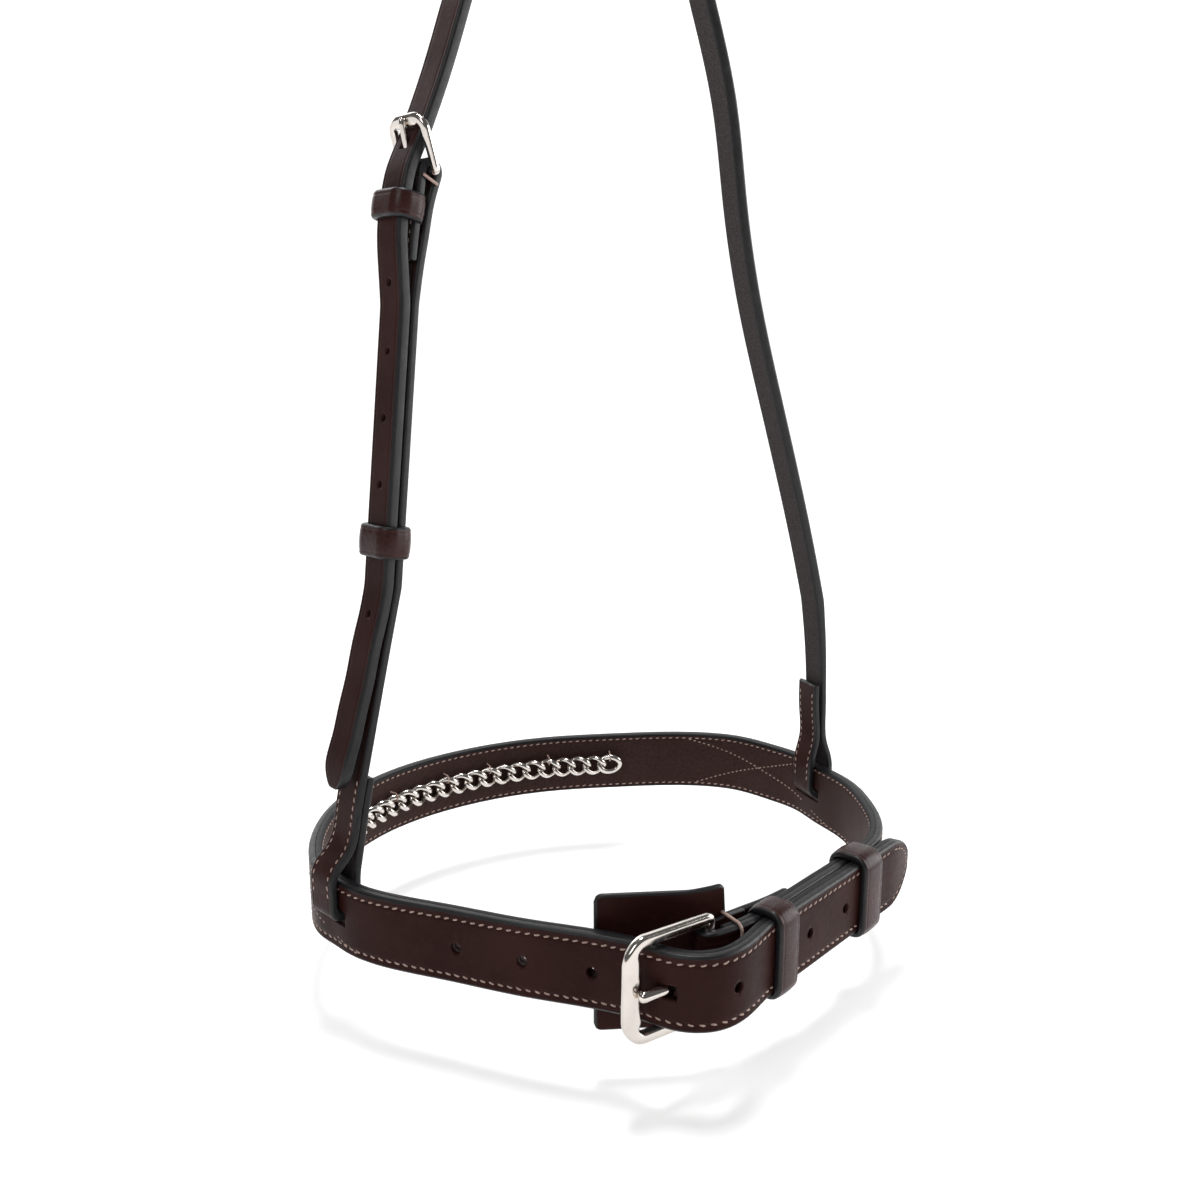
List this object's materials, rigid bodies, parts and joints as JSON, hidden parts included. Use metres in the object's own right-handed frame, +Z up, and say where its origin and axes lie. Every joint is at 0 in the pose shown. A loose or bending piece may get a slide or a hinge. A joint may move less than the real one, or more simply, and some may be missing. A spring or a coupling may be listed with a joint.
{
  "type": "bitless hackamore",
  "caption": "Leather noseband with an inner chain, buckled under the chin, hung from a narrow crown strap with a cheek buckle.",
  "frame": {"origin": "middle of the crown strap's underside, where it lies over the horse's poll", "axes": "+Z up, +Y towards the nose, -Y towards the chin buckle, -X the horse's near side with the cheek buckle"},
  "size_m": [0.2325, 0.2103, 0.4342],
  "materials": {
    "band_leather": "smooth dark brown bridle leather with black painted edges",
    "lining_leather": "dark brown leather, flesh side and painted edges",
    "strap_leather": "smooth dark brown bridle leather, stitched near its ends",
    "keeper_leather": "glossy reddish dark brown leather with creased edges",
    "buckle_metal": "polished nickel plate, slightly worn",
    "chain_metal": "bright wire curb chain",
    "thread": "waxed pale brown thread"
  },
  "bodies": {
    "headpiece": {"crown_strap": "strap_leather", "cheek_strap": "strap_leather", "cheek_fixed_keeper": "keeper_leather", "cheek_chape_thread": "thread"},
    "noseband": {"noseband_outer": "band_leather", "noseband_lining": "lining_leather", "buckle_guard": "band_leather", "noseband_fixed_keeper": "keeper_leather", "noseband_chape_thread": "thread", "chain_threads": "thread", "chain_link_01": "chain_metal", "chain_link_02": "chain_metal", "chain_link_03": "chain_metal", "chain_link_04": "chain_metal", "chain_link_05": "chain_metal", "chain_link_06": "chain_metal", "chain_link_07": "chain_metal", "chain_link_08": "chain_metal", "chain_link_09": "chain_metal", "chain_link_10": "chain_metal", "chain_link_11": "chain_metal", "chain_link_12": "chain_metal", "chain_link_13": "chain_metal", "chain_link_14": "chain_metal", "chain_link_15": "chain_metal", "chain_link_16": "chain_metal", "chain_link_17": "chain_metal", "chain_link_18": "chain_metal", "chain_link_19": "chain_metal", "chain_link_20": "chain_metal"},
    "noseband_keeper": {"noseband_running_keeper": "keeper_leather"},
    "noseband_buckle": {"noseband_buckle_frame": "buckle_metal"},
    "noseband_tongue": {"noseband_buckle_tongue": "buckle_metal"},
    "cheek_keeper": {"cheek_running_keeper": "keeper_leather"},
    "cheek_buckle": {"cheek_buckle_frame": "buckle_metal"},
    "cheek_tongue": {"cheek_buckle_tongue": "buckle_metal"}
  },
  "joints": [
    {"name": "noseband_swing", "type": "hinge", "parent": "headpiece", "child": "noseband", "pos_m": [-0.108, -0.02185, -0.408], "axis": [0.9998, 0.0177, 0], "range_deg": [-8, 8]},
    {"name": "noseband_keeper_slide", "type": "slide", "parent": "noseband", "child": "noseband_keeper", "axis": [0.9483, 0.3173, 0], "range_m": [-0.0265, 0.002]},
    {"name": "noseband_buckle_tilt", "type": "hinge", "parent": "noseband", "child": "noseband_buckle", "pos_m": [-0.018, -0.118, -0.408], "axis": [0, 0, 1], "range_deg": [-2, 1]},
    {"name": "noseband_tongue_lift", "type": "hinge", "parent": "noseband_buckle", "child": "noseband_tongue", "pos_m": [-0.018, -0.118, -0.408], "axis": [0, 0, 1], "range_deg": [0, 1.5]},
    {"name": "cheek_keeper_slide", "type": "slide", "parent": "headpiece", "child": "cheek_keeper", "axis": [0.1123, 0.028, 0.9933], "range_m": [-0.005, 0.072]},
    {"name": "cheek_buckle_tilt", "type": "hinge", "parent": "headpiece", "child": "cheek_buckle", "pos_m": [-0.06414, -0.01091, -0.1595], "axis": [0.2419, -0.9703, 0], "range_deg": [0, 4]},
    {"name": "cheek_tongue_lift", "type": "hinge", "parent": "cheek_buckle", "child": "cheek_tongue", "pos_m": [-0.06414, -0.01091, -0.1595], "axis": [0.2419, -0.9703, 0], "range_deg": [0, 2]}
  ]
}
